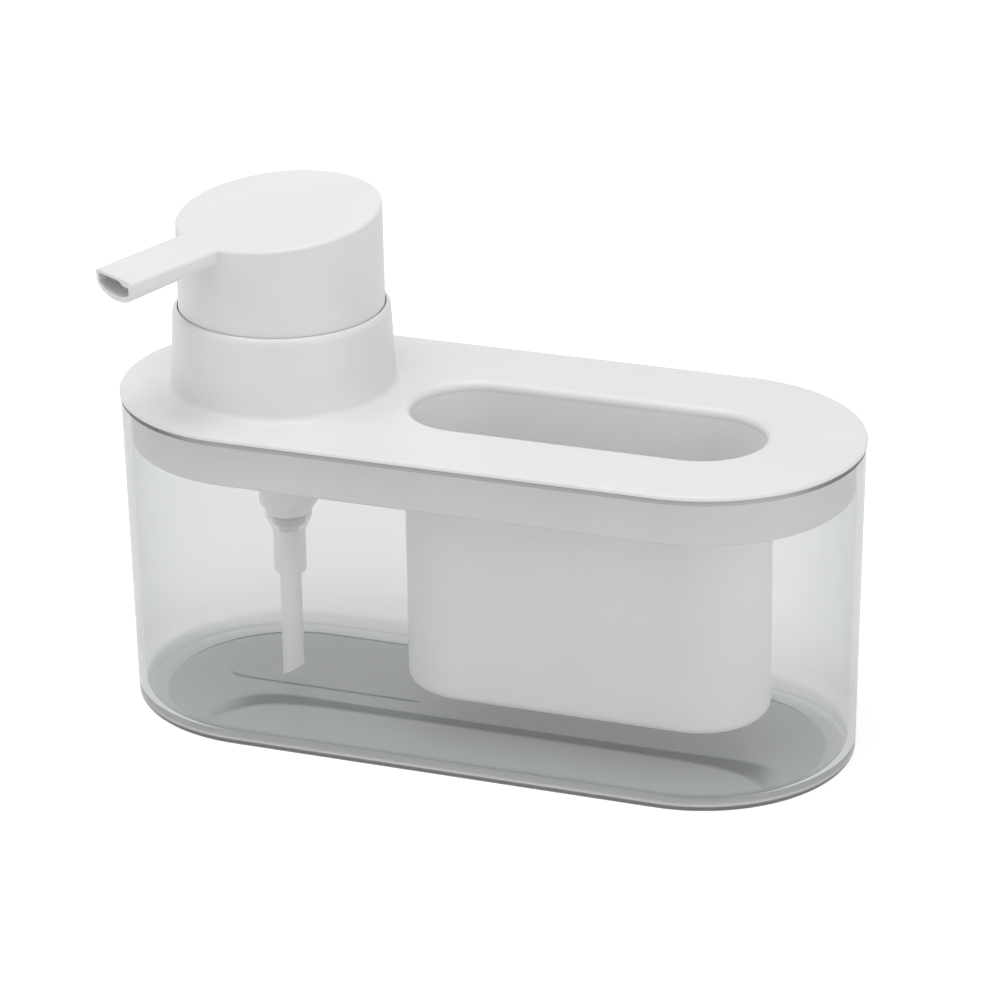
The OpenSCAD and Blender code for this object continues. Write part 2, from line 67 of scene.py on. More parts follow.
def addRings(bm, profile, half=0, centreX=0, steps=48, loop=False):
    # one ring of points for each (radius, height) of the profile, skinned in turn
    rings = []
    for radius, height in profile:
        flat = outline(radius, half, centreX, steps)
        rings.append([bm.verts.new(Vector((x, y, height)) * mm) for x, y in flat])
    pairs = list(zip(rings, rings[1:]))
    if loop:
        pairs.append((rings[-1], rings[0]))
    for lower, upper in pairs:
        for i in range(len(lower)):
            j = (i + 1) % len(lower)
            bm.faces.new((lower[i], lower[j], upper[j], upper[i]))
    return rings


def ringEdges(bm, ring):
    return [bm.edges.get((ring[i - 1], ring[i])) for i in range(len(ring))]


def fillBetween(bm, *rings):
    # flat face with holes: the first ring is its border
    edges = [edge for ring in rings for edge in ringEdges(bm, ring)]
    bmesh.ops.triangle_fill(bm, use_beauty=True, edges=edges)


def addBar(bm, start, end, thickness, low, high):
    # upright bar from start to end seen from above, such as a rib
    along = (Vector(end) - Vector(start)).normalized() * thickness / 2
    side = Vector((-along.y, along.x))
    corners = [Vector(start) + side, Vector(end) + side, Vector(end) - side, Vector(start) - side]
    rings = [[bm.verts.new(Vector((c.x, c.y, z)) * mm) for c in corners] for z in (low, high)]
    for i in range(4):
        j = (i + 1) % 4
        bm.faces.new((rings[0][i], rings[0][j], rings[1][j], rings[1][i]))
    bm.faces.new(rings[0])
    bm.faces.new(rings[1])


def skinRings(bm, rings):
    # closed form over rings of points that are already in place
    made = [[bm.verts.new(point * mm) for point in ring] for ring in rings]
    for lower, upper in zip(made, made[1:]):
        for i in range(len(lower)):
            j = (i + 1) % len(lower)
            bm.faces.new((lower[i], lower[j], upper[j], upper[i]))
    bm.faces.new(made[0])
    bm.faces.new(made[-1])
    return made


def toObject(bm, name):
    bmesh.ops.recalc_face_normals(bm, faces=bm.faces)
    mesh = bpy.data.meshes.new(name)
    bm.to_mesh(mesh)
    bm.free()
    made = bpy.data.objects.new(name, mesh)
    bpy.context.scene.collection.objects.link(made)
    return made


def carve(target, tool, operation):
    # joins the tool to the target or cuts it away, then drops the tool
    cutter = target.modifiers.new("carve", "BOOLEAN")
    cutter.operation = operation
    cutter.solver = "EXACT"
    cutter.object = tool
    shaped = target.evaluated_get(bpy.context.evaluated_depsgraph_get())
    target.data = bpy.data.meshes.new_from_object(shaped)
    target.modifiers.clear()
    bpy.data.objects.remove(tool)


def dress(piece, body, replaced, material, sharpAngle=32):
    piece.data.shade_smooth()
    piece.data.set_sharp_from_angle(angle=math.radians(sharpAngle))
    weighted = piece.modifiers.new("flat faces keep their normals", "WEIGHTED_NORMAL")
    weighted.keep_sharp = True
    piece.data.materials.clear()
    piece.data.materials.append(material)
    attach(piece, body)
    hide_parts(*replaced)


# Material helpers
def fromHex(code):
    # sRGB hex to linear colour
    parts = [int(code[i:i + 2], 16) / 255 for i in (1, 3, 5)]
    return [c / 12.92 if c <= 0.04045 else ((c + 0.055) / 1.055) ** 2.4 for c in parts] + [1]


def addNode(tree, kind, inputs=None, **settings):
    # inputs go by name or number; a colour Mix has its share at 0 and its colours at 6 and 7
    node = tree.nodes.new("ShaderNode" + kind)
    for key, value in settings.items():
        setattr(node, key, value)
    for key, value in (inputs or {}).items():
        if isinstance(value, bpy.types.NodeSocket):
            tree.links.new(value, node.inputs[key])
        else:
            node.inputs[key].default_value = value
    return node


def newMaterial(name):
    material = bpy.data.materials.new(name)
    material.use_nodes = True
    tree = material.node_tree
    shader = tree.nodes["Principled BSDF"]
    place = addNode(tree, "TexCoord").outputs["Object"]
    return material, tree, shader, place


def patches(tree, place, size, low, high, detail=3.0):
    # soft noise whose patches are size millimetres across, spread from low to high
    noise = addNode(tree, "TexNoise", {
        "Vector": place, "Scale": 1 / (size * mm), "Detail": detail, "Roughness": 0.6})
    spread = addNode(tree, "MapRange", {
        "Value": noise.outputs["Fac"], "From Min": 0.3, "From Max": 0.7,
        "To Min": low, "To Max": high})
    return spread.outputs["Result"]


# Moulded ABS: sparked mould, so a satin face whose highlights spread wide
absFinish = {
    "light": "#EAEAEA", "dark": "#E4E5E5", "ior": 1.53, "roughness": (0.36, 0.46),
    "grain": 0.5, "grainDepth": 0.012, "bump": 0.12, "clouds": 38, "smudges": 9,
}


def mouldedAbs(name="moulded ABS, satin white", light=None, dark=None):
    material, tree, shader, place = newMaterial(name)
    clouds = patches(tree, place, absFinish["clouds"], 0, 1)
    colour = addNode(tree, "Mix", {
        0: clouds, 6: fromHex(light or absFinish["light"]), 7: fromHex(dark or absFinish["dark"])},
        data_type="RGBA")
    smudges = patches(tree, place, absFinish["smudges"], *absFinish["roughness"])
    grain = addNode(tree, "TexNoise", {
        "Vector": place, "Scale": 1 / (absFinish["grain"] * mm), "Detail": 2.0})  # real grit is finer
    bump = addNode(tree, "Bump", {
        "Height": grain.outputs["Fac"], "Strength": absFinish["bump"],
        "Distance": absFinish["grainDepth"] * mm})
    shader.inputs["IOR"].default_value = absFinish["ior"]
    tree.links.new(colour.outputs[2], shader.inputs["Base Color"])
    tree.links.new(smudges, shader.inputs["Roughness"])
    tree.links.new(bump.outputs["Normal"], shader.inputs["Normal"])
    return material


# Clear styrene: polished mould, so it shines and turns smoky where it is seen edgeways
styreneFinish = {
    "face": "#EBECEC", "edgeways": "#DFE1E1", "smoke": "#E0E0E0", "ior": 1.57, "steep": 4,
    "haze": (0.02, 0.35), "gloss": (0.04, 0.45), "roughness": (0.02, 0.05),
    "clouds": 60, "cloudSpread": (0.9, 1.1),
    # the floor keys set a painted shade: the floor tinted grey as if in the lid's shadow
    "floorHalf": 64.2, "floorShadeTone": "#D9DBDA", "floorShadeEdge": (42, 48), "floorShadeOutside": 0.45,
    "floorShadeSlant": 0.2, "floorShadeCorner": (5.8, 3.4),
    # the foot tones are a painted shade by height: dark on the rounded foot, a paler line, then grey
    "paintedFootShades": [(0, "#747675"), (1.9, "#7C7E7D"), (2.3, "#DCDDDC"), (2.9, "#D4D5D4"), (3.3, "#BFC0BF"),
                  (4.75, "#BDBEBD"), (5.2, "#FFFFFF")],
}

# Painted dark streaks on the floor, standing in for the lines that the thick floor's bent light shows: a
# broad band and a fine line behind it
paintedFloorStreaks = {
    "hook": 12, "flare": 6, "edge": (1.0, 0.4), "ends": (1.03, 0.88),
    "lines": [
        {"middle": 8.6, "half": 84.3, "y": -14.6, "bends": (-16, -8), "width": 3.2, "swell": 6,
         "tone": "#BABDBC"},
        {"middle": -51, "half": 31, "y": -4.9, "bends": (2.5, 0), "width": 0.9, "swell": 0,
         "tone": "#C4C6C5"},
    ],
}


def seenOutside(tree):
    # one on a face seen from its outer side, nothing from within the plastic
    behind = addNode(tree, "NewGeometry").outputs["Backfacing"]
    return addNode(tree, "Math", {0: 1.0, 1: behind}, operation="SUBTRACT").outputs[0]


def paintedStreakShare(tree, axes, line):
    # mask of one painted streak: a bar along X whose ends bend aside and swell, one on it and nothing
    # beside it
    middle, half, width = line["middle"], line["half"], line["width"]
    along = addNode(tree, "MapRange", {
        "Value": axes.outputs["X"], "From Min": middle * mm, "From Max": (middle + half) * mm},
        clamp=False)
    along = addNode(tree, "Math", {0: along.outputs["Result"]}, operation="ABSOLUTE").outputs[0]
    hook = addNode(tree, "Math", {0: along, 1: paintedFloorStreaks["hook"]}, operation="POWER")
    bend = addNode(tree, "MapRange", {
        "Value": axes.outputs["X"],
        "From Min": (middle - half) * mm, "From Max": (middle + half) * mm,
        "To Min": line["bends"][0] * mm, "To Max": line["bends"][1] * mm})
    centre = addNode(tree, "Math", {
        0: hook.outputs[0], 1: bend.outputs["Result"], 2: line["y"] * mm}, operation="MULTIPLY_ADD")
    off = addNode(tree, "Math", {0: axes.outputs["Y"], 1: centre.outputs[0]}, operation="SUBTRACT")
    off = addNode(tree, "Math", {0: off.outputs[0]}, operation="ABSOLUTE")
    flare = addNode(tree, "Math", {0: along, 1: paintedFloorStreaks["flare"]}, operation="POWER")
    wide = addNode(tree, "MapRange", {
        "Value": flare.outputs[0], "To Min": width * mm, "To Max": (width + line["swell"]) * mm})
    off = addNode(tree, "Math", {0: off.outputs[0], 1: wide.outputs["Result"]}, operation="DIVIDE")
    soft = []
    for value, (outer, inner) in ((off.outputs[0], paintedFloorStreaks["edge"]), (along, paintedFloorStreaks["ends"])):
        soft.append(addNode(tree, "MapRange", {
            "Value": value, "From Min": outer, "From Max": inner}, interpolation_type="SMOOTHSTEP"))
    return addNode(tree, "Math", {
        0: soft[0].outputs["Result"], 1: soft[1].outputs["Result"]}, operation="MULTIPLY").outputs[0]


def paintedFloorShade(tree, place, colour):
    # painted shade: the floor is tinted grey inside its border, standing in for the shadow the lid casts
    # on the table under it, with painted dark streaks along the front
    axes = addNode(tree, "SeparateXYZ", {"Vector": place})
    length = addNode(tree, "Math", {0: axes.outputs["X"]}, operation="ABSOLUTE")
    past = addNode(tree, "Math", {
        0: length.outputs[0], 1: styreneFinish["floorHalf"] * mm}, operation="SUBTRACT")
    beyond = addNode(tree, "Math", {0: past.outputs[0], 1: 0.0}, operation="MAXIMUM")
    across = addNode(tree, "CombineXYZ", {"X": beyond.outputs[0], "Y": axes.outputs["Y"]})
    reach = addNode(tree, "VectorMath", {0: across.outputs[0]}, operation="LENGTH").outputs["Value"]
    # the painted shade's border lies further in at the back
    drawn = addNode(tree, "Math", {
        0: axes.outputs["Y"], 1: styreneFinish["floorShadeSlant"], 2: reach}, operation="MULTIPLY_ADD")
    start, end = styreneFinish["floorShadeEdge"]
    border = addNode(tree, "MapRange", {
        "Value": drawn.outputs[0], "From Min": start * mm, "From Max": end * mm,
        "To Min": 1.0, "To Max": styreneFinish["floorShadeOutside"]}, interpolation_type="SMOOTHSTEP")
    # the painted shade fades out up the inner corner
    top, bottom = styreneFinish["floorShadeCorner"]
    corner = addNode(tree, "MapRange", {
        "Value": axes.outputs["Z"], "From Min": top * mm, "From Max": bottom * mm},
        interpolation_type="SMOOTHSTEP")
    shadeShare = addNode(tree, "Math", {
        0: border.outputs["Result"], 1: corner.outputs["Result"]}, operation="MULTIPLY")
    colour = addNode(tree, "Mix", {
        0: shadeShare.outputs[0], 6: colour, 7: fromHex(styreneFinish["floorShadeTone"])},
        data_type="RGBA", blend_type="MULTIPLY").outputs[2]
    outside = seenOutside(tree)
    # painted dark streaks, on faces seen from outside
    for line in paintedFloorStreaks["lines"]:
        share = addNode(tree, "Math", {0: paintedStreakShare(tree, axes, line), 1: outside}, operation="MULTIPLY")
        colour = addNode(tree, "Mix", {
            0: share.outputs[0], 6: colour, 7: fromHex(line["tone"])},
            data_type="RGBA", blend_type="MULTIPLY").outputs[2]
    return colour


def paintedFootShade(tree, place, colour):
    # painted shade: seen from outside, the rounded foot is painted dark, with a paler line above it and
    # grey over the solid corner, standing in for the light bent in the thick plastic there
    height = addNode(tree, "SeparateXYZ", {"Vector": place}).outputs["Z"]
    tones = styreneFinish["paintedFootShades"]
    share = addNode(tree, "MapRange", {"Value": height, "From Max": tones[-1][0] * mm})
    ramp = addNode(tree, "ValToRGB", {"Fac": share.outputs["Result"]})
    stops = ramp.color_ramp.elements
    while len(stops) < len(tones):
        stops.new(0.5)
    for stop, (z, tone) in zip(stops, tones):
        stop.position = z / tones[-1][0]
        stop.color = fromHex(tone)
    return addNode(tree, "Mix", {
        0: seenOutside(tree), 6: colour, 7: ramp.outputs["Color"]},
        data_type="RGBA", blend_type="MULTIPLY").outputs[2]


def letLightPass(tree, seen):
    # lamp and bounce light pass straight through, so the inside is as bright as in a room
    path = addNode(tree, "LightPath")
    lit = addNode(tree, "Math", {
        0: path.outputs["Is Shadow Ray"], 1: path.outputs["Is Diffuse Ray"]}, operation="MAXIMUM")
    passing = addNode(tree, "BsdfTransparent")
    both = addNode(tree, "MixShader", {0: lit.outputs[0], 1: seen.outputs[0], 2: passing.outputs[0]})
    tree.links.new(both.outputs[0], tree.nodes["Material Output"].inputs["Surface"])


def clearStyrene(name="moulded clear styrene", face=None, edgeways=None, haze=None, gloss=None,
                 turn=(0.0, 1.0), paintedShade=None):
    # thin wall: what is behind shows straight through it
    material, tree, shader, place = newMaterial(name)
    edge = addNode(tree, "LayerWeight", {"Blend": 0.5}).outputs["Facing"]
    steep = addNode(tree, "Math", {0: edge, 1: styreneFinish["steep"]}, operation="POWER").outputs[0]
    film = patches(tree, place, styreneFinish["clouds"] / 4, *styreneFinish["roughness"])
    clouds = patches(tree, place, styreneFinish["clouds"], *styreneFinish["cloudSpread"])
    turned = addNode(tree, "MapRange", {
        "Value": edge, "From Min": turn[0], "From Max": turn[1]}, interpolation_type="SMOOTHSTEP")
    colour = addNode(tree, "Mix", {
        0: turned.outputs["Result"], 6: fromHex(face or styreneFinish["face"]),
        7: fromHex(edgeways or styreneFinish["edgeways"])}, data_type="RGBA").outputs[2]
    # painted shade, where given, darkens the colour here
    if paintedShade:
        colour = paintedShade(tree, place, colour)
    shader.inputs["IOR"].default_value = styreneFinish["ior"]
    shader.inputs["Base Color"].default_value = fromHex(styreneFinish["smoke"])
    tree.links.new(film, shader.inputs["Roughness"])
    shares = []
    for low, high in (haze or styreneFinish["haze"], gloss or styreneFinish["gloss"]):
        share = addNode(tree, "MapRange", {"Value": steep, "To Min": low, "To Max": high})
        shares.append(addNode(tree, "Math", {
            0: share.outputs["Result"], 1: clouds}, operation="MULTIPLY").outputs[0])
    clear = addNode(tree, "BsdfTransparent", {"Color": colour})
    shine = addNode(tree, "BsdfAnisotropic", {"Roughness": film})
    smoky = addNode(tree, "MixShader", {0: shares[0], 1: clear.outputs[0], 2: shader.outputs[0]})
    seen = addNode(tree, "MixShader", {0: shares[1], 1: smoky.outputs[0], 2: shine.outputs[0]})
    letLightPass(tree, seen)
    return material


# Natural and white polypropylene and polyethylene: milky, with a soft waxy shine
def naturalPlastic(name, light, dark, ior, transmission, roughness, clouds=12, shade=None,
                   clear=0.0, thin=None):
    material, tree, shader, place = newMaterial(name)
    share = patches(tree, place, clouds, 0, 1)
    film = patches(tree, place, clouds / 3, roughness - 0.04, roughness + 0.05)
    height = addNode(tree, "SeparateXYZ", {"Vector": place}).outputs["Z"]
    pair = {6: fromHex(light), 7: fromHex(dark)}
    colour = addNode(tree, "Mix", {0: share, **pair}, data_type="RGBA").outputs[2]
    shader.inputs["IOR"].default_value = ior
    shader.inputs["Transmission Weight"].default_value = transmission
    if shade:
        start, end, tone = shade  # the tone comes in between these heights
        above = addNode(tree, "MapRange", {
            "Value": height, "From Min": start * mm, "From Max": end * mm},
            interpolation_type="SMOOTHSTEP")
        colour = addNode(tree, "Mix", {
            0: above.outputs["Result"], 6: colour, 7: fromHex(tone)},
            data_type="RGBA", blend_type="MULTIPLY").outputs[2]
    tree.links.new(colour, shader.inputs["Base Color"])
    tree.links.new(film, shader.inputs["Roughness"])
    if clear:
        # the middle lets through what is behind, most of all on the thin stretch
        edge = addNode(tree, "LayerWeight", {"Blend": 0.5}).outputs["Facing"]
        low, high, more = thin
        there = addNode(tree, "Math", {
            0: height, 1: (low + high) / 2 * mm, 2: (high - low) / 2 * mm}, operation="COMPARE")
        least = addNode(tree, "MapRange", {
            "Value": there.outputs[0], "To Min": 1 - clear, "To Max": 1 - more})
        solid = addNode(tree, "MapRange", {
            "Value": edge, "From Min": 0.1, "From Max": 0.8, "To Min": least.outputs["Result"]})
        solid = addNode(tree, "Math", {
            0: solid.outputs["Result"], 1: seenOutside(tree)}, operation="MULTIPLY")
        filtered = addNode(tree, "Mix", {0: edge, **pair}, data_type="RGBA")
        passing = addNode(tree, "BsdfTransparent", {"Color": filtered.outputs[2]})
        seen = addNode(tree, "MixShader", {
            0: solid.outputs[0], 1: passing.outputs[0], 2: shader.outputs[0]})
        letLightPass(tree, seen)
    return material


# Steel: the balls are ground and the spring is drawn, so both shine with fine marks
def brightSteel(name, light, dark, roughness, marks, stretch):
    material, tree, shader, place = newMaterial(name)
    along = addNode(tree, "Mapping", {"Vector": place, "Scale": stretch})
    share = patches(tree, along.outputs["Vector"], marks, 0, 1, detail=6.0)
    film = patches(tree, along.outputs["Vector"], marks / 2, roughness - 0.06, roughness + 0.08)
    colour = addNode(tree, "Mix", {0: share, 6: fromHex(light), 7: fromHex(dark)}, data_type="RGBA")
    shader.inputs["Metallic"].default_value = 1.0
    tree.links.new(colour.outputs[2], shader.inputs["Base Color"])
    tree.links.new(film, shader.inputs["Roughness"])
    return material


satinWhite = mouldedAbs()
# painted light: a paler copy of the satin white, lifting the well's shaded inside
wellWhitePaintedLight = mouldedAbs("moulded ABS, satin white, well, painted light", light="#F7F7F7", dark="#F3F3F3")
clearWall = clearStyrene()
clearInside = clearStyrene("moulded clear styrene, inner face", "#FEFEFE", "#FCFCFC", (0, 0), (0.01, 0.03))
# painted shade: the rim band is tinted dark, darker edgeways, standing in for the shadow line under the
# lid's lip
clearRimPaintedShade = clearStyrene("moulded clear styrene, rim edge, painted shade", "#D4D5D5", "#949595", (0, 0.05), (0.02, 0.1),
                        turn=(0.12, 0.45))
clearFootPaintedShade = clearStyrene("moulded clear styrene, foot, painted shade", haze=(0, 0.2), paintedShade=paintedFootShade)
clearFloorPaintedShade = clearStyrene("moulded clear styrene, floor, painted shade and streaks", "#FEFEFE", "#FCFCFC", (0, 0), (0.02, 0.05),
                          paintedShade=paintedFloorShade)
milkyBarrel = naturalPlastic("moulded natural polypropylene", "#FCFCFC", "#F8F8F8", 1.49, 0.0, 0.3,
                             clear=0.12, thin=(51.6, 56.5, 0.5))
milkyTube = naturalPlastic("extruded natural polyethylene", "#FEFEFE", "#FAFAFA", 1.51, 0.0, 0.2)
whiteWorks = naturalPlastic("moulded white polypropylene", "#EEEEEE", "#E6E6E6", 1.49, 0.0, 0.34)
softPiston = naturalPlastic("moulded soft polyethylene", "#DDE2E8", "#D2D8DF", 1.51, 0.15, 0.42)
greyCage = naturalPlastic("moulded grey polyethylene", "#E4E6E6", "#DCDEDE", 1.51, 0.0, 0.4,
                          shade=(52.6, 53, "#848686"))
foamGasket = naturalPlastic("skived white foam", "#D9D9D6", "#C9C9C5", 1.45, 0.0, 0.85, clouds=2)
groundBall = brightSteel("ground steel", "#C9CACC", "#B9BABD", 0.14, 1.2, (1, 1, 1))
drawnWire = brightSteel("drawn steel wire", "#C4C5C7", "#ABADB0", 0.24, 0.8, (1, 1, 4))
print("materials made")


# Tub: the wall leans out by its draft, with a foot ring under the floor
tub = {
    "half": 64.2, "topR": 45.65, "height": 95.2, "draft": 1.4, "wall": 2.2, "floor": 2.6,
    "footRound": 2.2, "cornerRound": 3.2, "footW": 7, "recess": 0.8, "rimRound": 0.4,
    "rimBand": 1.4, "footBand": 8, "steps": 72,
}


def wallRadius(height):
    return tub["topR"] - tub["draft"] * (1 - height / tub["height"])


def buildTub():
    footR = wallRadius(0)
    footIn = footR - tub["footRound"] - tub["footW"]
    cornerR = tub["cornerRound"]
    cornerZ = tub["floor"] + cornerR
    floorIn = wallRadius(cornerZ) - tub["wall"] - cornerR
    rim = tub["rimRound"]
    bandZ = tub["height"] - tub["rimBand"]
    profile = [(footIn, tub["recess"]), (footIn + tub["recess"], 0)]
    profile += arcPoints((footR - tub["footRound"], tub["footRound"]), tub["footRound"], -90, 0, 12)
    profile += [(wallRadius(tub["footBand"]), tub["footBand"]), (wallRadius(bandZ), bandZ)]
    profile += arcPoints((tub["topR"] - rim, tub["height"] - rim), rim, 0, 90, 4)
    profile += arcPoints((tub["topR"] - tub["wall"] + rim, tub["height"] - rim), rim, 90, 180, 4)
    profile += [(wallRadius(bandZ) - tub["wall"], bandZ)]
    profile += arcPoints((floorIn, cornerZ), cornerR, 0, -90, 14)
    bm = bmesh.new()
    rings = addRings(bm, profile, tub["half"], steps=tub["steps"])
    bm.faces.new(rings[0])
    bm.faces.new(rings[-1])
    piece = toObject(bm, "clearTub")
    dress(piece, "tub", ["reservoir"], clearWall)
    for material in (clearInside, clearRimPaintedShade, clearFootPaintedShade, clearFloorPaintedShade):
        piece.data.materials.append(material)
    for face in piece.data.polygons:
        middle, facing = face.center / mm, face.normal
        inwards = middle.y * facing.y < 0 if abs(middle.x) < tub["half"] else middle.x * facing.x < 0
        # outer faces of the top band take the painted shade line under the lip
        if middle.z > bandZ:
            face.material_index = 0 if inwards else 2
        # flat faces and the inner corner take the painted floor shade
        elif abs(facing.z) > 0.99 or inwards and middle.z < cornerZ:
            face.material_index = 4
        elif inwards:
            face.material_index = 1
        # outer faces low on the wall take the painted foot shade
        elif middle.z < tub["footBand"]:
            face.material_index = 3


# Lid: one moulding of deck, rim, skirt, rolled opening, collar and neck
lid = {
    "half": 64.2, "rimR": 46.0, "deckZ": 96.5, "deckT": 2.6, "seatZ": 95.2, "lipRound": 0.9,
    "skirtR": 42.88, "skirtT": 1.8, "skirtZ": 80.5, "skirtLead": 0.6,
    "openHalf": 33.725, "openX": 29.875, "wellR": 18.4, "rollR": 2.6, "landR": 24.4, "landZ": 93.5,
    "collarBore": 30.05, "collarT": 1.35, "collarTop": 121.2, "crown": 2.2, "collarDraft": 1.05,
    "fillet": 2.5, "neckR": 15.0, "neckBore": 8.9, "neckTop": 104.0,
    "sleeveR": 10.7, "sleeveH": 8, "ribs": 6, "ribT": 1.4, "ribH": 6, "ribReach": 30,
    "rimSteps": 72, "openSteps": 40, "collarSteps": 56,
}


def buildLid():
    deckZ = lid["deckZ"]
    underZ = deckZ - lid["deckT"]
    rimR, skirtR, skirtZ = lid["rimR"], lid["skirtR"], lid["skirtZ"]
    lead, lip = lid["skirtLead"], lid["lipRound"]
    rim = arcPoints((rimR - lip, deckZ - lip), lip, 90, 0)
    rim += arcPoints((rimR - 0.2, lid["seatZ"] + 0.2), 0.2, 0, -90, 3)
    rim += [(skirtR, lid["seatZ"]), (skirtR, skirtZ + lead), (skirtR - lead, skirtZ)]
    rim += [(skirtR - lid["skirtT"], skirtZ), (skirtR - lid["skirtT"], underZ)]
    openR = lid["wellR"] + lid["rollR"]
    roll = arcPoints((openR, deckZ - lid["rollR"]), lid["rollR"], 90, 180, 12)
    roll += [(lid["wellR"], lid["landZ"]), (lid["landR"], lid["landZ"]), (lid["landR"], underZ)]
    bore, top = lid["collarBore"], lid["collarTop"]
    footR = bore + lid["collarT"] + lid["collarDraft"] + lid["fillet"]
    neckLow = underZ - lid["sleeveH"]
    collar = arcPoints((footR, deckZ + lid["fillet"]), lid["fillet"], 270, 180, 10)
    collar += arcPoints((bore, top - lid["crown"]), (lid["collarT"], lid["crown"]), 0, 90, 12)
    collar += [(bore, deckZ), (lid["neckR"], deckZ)]
    collar += arcPoints((lid["neckR"] - 0.5, lid["neckTop"] - 0.5), 0.5, 0, 90, 3)
    collar += [(lid["neckBore"], lid["neckTop"]), (lid["neckBore"], neckLow)]
    collar += [(lid["sleeveR"], neckLow), (lid["sleeveR"], underZ)]
    bm = bmesh.new()
    rimRings = addRings(bm, rim, lid["half"], steps=lid["rimSteps"])
    rollRings = addRings(bm, roll, lid["openHalf"], lid["openX"], steps=lid["openSteps"])
    collarRings = addRings(bm, collar, 0, pumpX, steps=lid["collarSteps"])
    fillBetween(bm, rimRings[0], rollRings[0], collarRings[0])
    fillBetween(bm, rimRings[-1], rollRings[-1], collarRings[-1])
    for i in range(lid["ribs"]):
        turn = 2 * math.pi * (i + 0.5) / lid["ribs"]
        inner, outer = lid["sleeveR"] - 0.9, lid["ribReach"]
        addBar(bm, (pumpX + inner * math.cos(turn), inner * math.sin(turn)),
               (pumpX + outer * math.cos(turn), outer * math.sin(turn)),
               lid["ribT"], underZ - lid["ribH"], underZ + 0.3)
    dress(toObject(bm, "mouldedLid"), "lid", ["lid"], satinWhite)


# Sponge well: a deep pocket bonded under the lid's opening
well = {
    "half": 33.725, "x": 29.875, "innerR": 18.4, "wall": 2, "bottomZ": 12, "topZ": 93.5,
    "outerRound": 3, "innerRound": 2, "flangeR": 24.4, "flangeT": 1.6, "steps": 40,
}


def buildWell():
    outR = well["innerR"] + well["wall"]
    floorZ = well["bottomZ"] + well["wall"]
    outer, inner = well["outerRound"], well["innerRound"]
    profile = arcPoints((outR - outer, well["bottomZ"] + outer), outer, -90, 0, 10)
    profile += [(outR, well["topZ"] - well["flangeT"]), (well["flangeR"], well["topZ"] - well["flangeT"])]
    profile += [(well["flangeR"], well["topZ"]), (well["innerR"], well["topZ"])]
    profile += arcPoints((well["innerR"] - inner, floorZ + inner), inner, 0, -90, 8)
    bm = bmesh.new()
    rings = addRings(bm, profile, well["half"], well["x"], steps=well["steps"])
    bm.faces.new(rings[0])
    bm.faces.new(rings[-1])
    dress(toObject(bm, "spongeWell"), "lid", ["sponge_well"], wellWhitePaintedLight)


# Head: a drum with a sloping top that runs on into the hollow spout
head = {
    "topZ": 149.04, "tilt": 5.9, "turn": -120.5, "topR": 29.5, "lowR": 29.76, "lowZ": 112.5,
    "wall": 2, "topT": 2.2, "topRound": 1.0, "lowRound": 0.4,
    "reach": 58, "rootX": 27.1, "rootW": 17.7, "mouthW": 17, "rootSide": 2.7, "mouthSide": 3.4,
    "rootBelly": 4, "mouthBelly": 4.3, "edgeRound": 1.2, "mouthRound": 0.25,
    "sideT": 1.5, "roofT": 0.9, "underT": 1.8, "innerRound": 0.3,
    "ledgeIn": 4.1, "ledgeSlant": 3, "ledgeDrop": 2.2, "ledgeL": 12, "ledgeInset": 0.3,
    "bossBore": 5.35, "bossR": 7.15, "bossZ": 134, "hubTop": 142.89, "ribs": 6, "ribT": 1.2, "ribZ": 136,
    "steps": 64, "bossSteps": 32,
}


def topDrop(x, y):
    # how far the sloping top lies below its height at the pump's axis
    turn = math.radians(head["turn"])
    return math.tan(math.radians(head["tilt"])) * (x * math.cos(turn) + y * math.sin(turn))


def headPlace(x, y, z):
    # from the spout's own frame, with x along it and z square to the sloping top
    frameTurn = Matrix.Rotation(math.radians(head["turn"]), 3, "Z") @ Matrix.Rotation(
        math.radians(head["tilt"]), 3, "Y")
    return frameTurn @ Vector((x, y, z)) + Vector((pumpX, 0, head["topZ"]))


def spoutRing(x, inset=0, inside=False):
    share = max(0, min(1, (x - head["rootX"]) / (head["reach"] - head["rootX"])))
    width = head["rootW"] + (head["mouthW"] - head["rootW"]) * share - 2 * inset
    side = head["rootSide"] + (head["mouthSide"] - head["rootSide"]) * share
    belly = head["rootBelly"] + (head["mouthBelly"] - head["rootBelly"]) * share - inset
    top, rounding = -inset, head["edgeRound"]
    if inside:
        width -= 2 * head["sideT"]
        belly -= head["underT"]
        top, rounding = -head["roofT"], head["innerRound"]
    flat = arcPoints((width / 2 - rounding, top - rounding), rounding, 0, 90, 6)
    flat += arcPoints((rounding - width / 2, top - rounding), rounding, 90, 180, 6)
    flat += arcPoints((0, -side), (width / 2, belly), 180, 360, 28)
    return [headPlace(x, y, z) for y, z in flat]


def drumShell():
    topZ, lowZ, wall = head["topZ"], head["lowZ"], head["wall"]
    rounding, lowRound = head["topRound"], head["lowRound"]
    outside = [(r, z, 1) for r, z in arcPoints(
        (head["topR"] - rounding, topZ - rounding), rounding, 90, 0, 8)]
    outside += [(r, z, 0) for r, z in arcPoints(
        (head["lowR"] - lowRound, lowZ + lowRound), lowRound, 0, -90, 4)]
    inside = [(head["lowR"] - wall, lowZ, 0), (head["topR"] - wall, topZ - head["topT"], 1)]
    rings = []
    for radius, height, lean in outside + inside:
        rings.append([
            Vector((pumpX + x, y, height - lean * topDrop(x, y)))
            for x, y in outline(radius, steps=head["steps"])])
    bm = bmesh.new()
    skinRings(bm, rings)
    return toObject(bm, "pumpHead")


